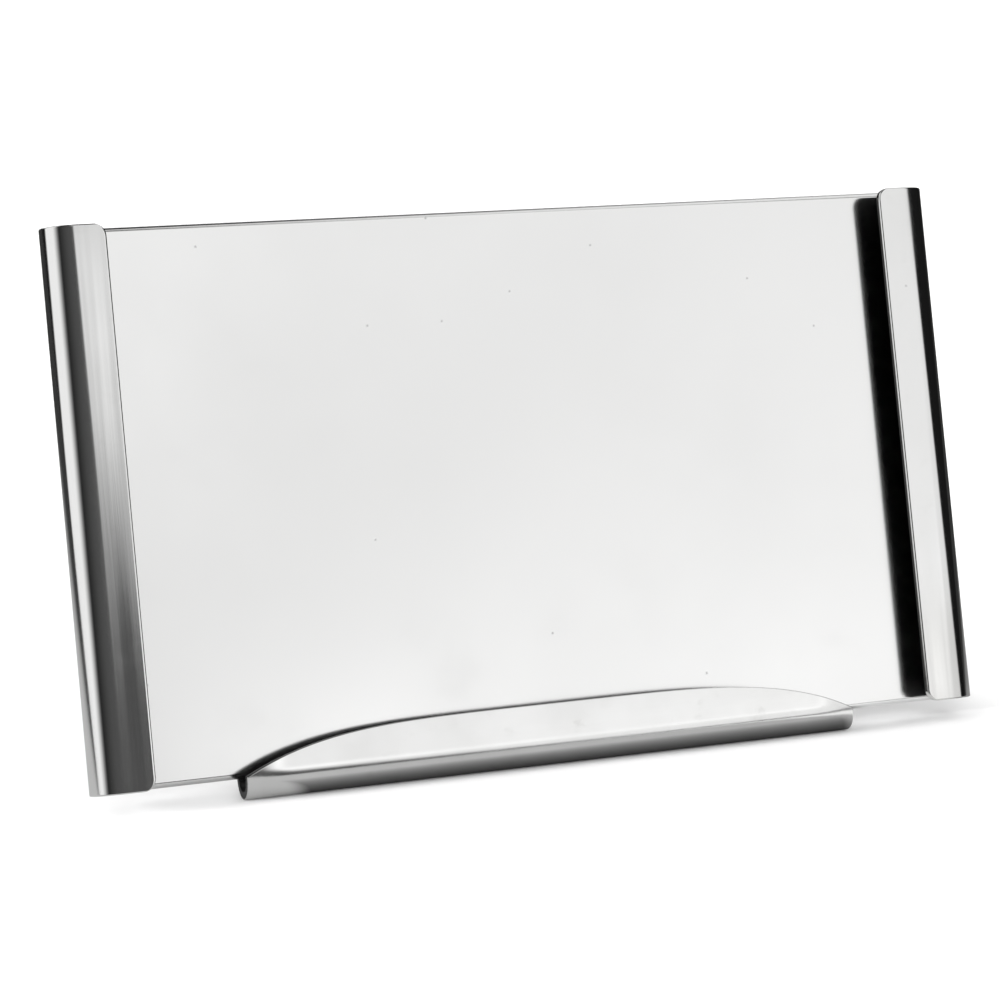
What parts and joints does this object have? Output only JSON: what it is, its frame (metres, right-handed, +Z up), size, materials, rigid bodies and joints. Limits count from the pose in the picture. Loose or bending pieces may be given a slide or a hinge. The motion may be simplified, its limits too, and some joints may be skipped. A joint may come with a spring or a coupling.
{
  "type": "place card holder",
  "caption": "Leaning polished metal plate with a folded channel on each side and an arched lip below to hold a place card, standing on its lip and a folding rear strut.",
  "frame": {"origin": "on the table under the middle of the footprint: bottom centre of the bounding box", "axes": "+X along the holder's width, to the viewer's right; +Y backwards, towards the strut; +Z up"},
  "size_m": [0.094, 0.0288, 0.0543],
  "materials": {
    "polished_plate": "mirror polished",
    "polished_channel": "polished, with fine lengthwise polishing lines",
    "polished_lip": "polished, with fine lengthwise polishing lines",
    "strut_steel": "satin brushed",
    "hinge_steel": "satin brushed",
    "pin_steel": "turned steel"
  },
  "bodies": {
    "stand": {"back_plate": "polished_plate", "left_channel": "polished_channel", "right_channel": "polished_channel", "card_lip": "polished_lip", "hinge_plate_leaf": "hinge_steel", "hinge_pin": "pin_steel"},
    "strut": {"hinge_strut_leaf": "hinge_steel", "easel_strut": "strut_steel", "strut_rivets": "pin_steel"}
  },
  "joints": [
    {"name": "strut_fold", "type": "hinge", "parent": "stand", "child": "strut", "pos_m": [0, 0.0005, 0.03579], "axis": [-1, 0, 0], "range_deg": [0, 33]}
  ]
}
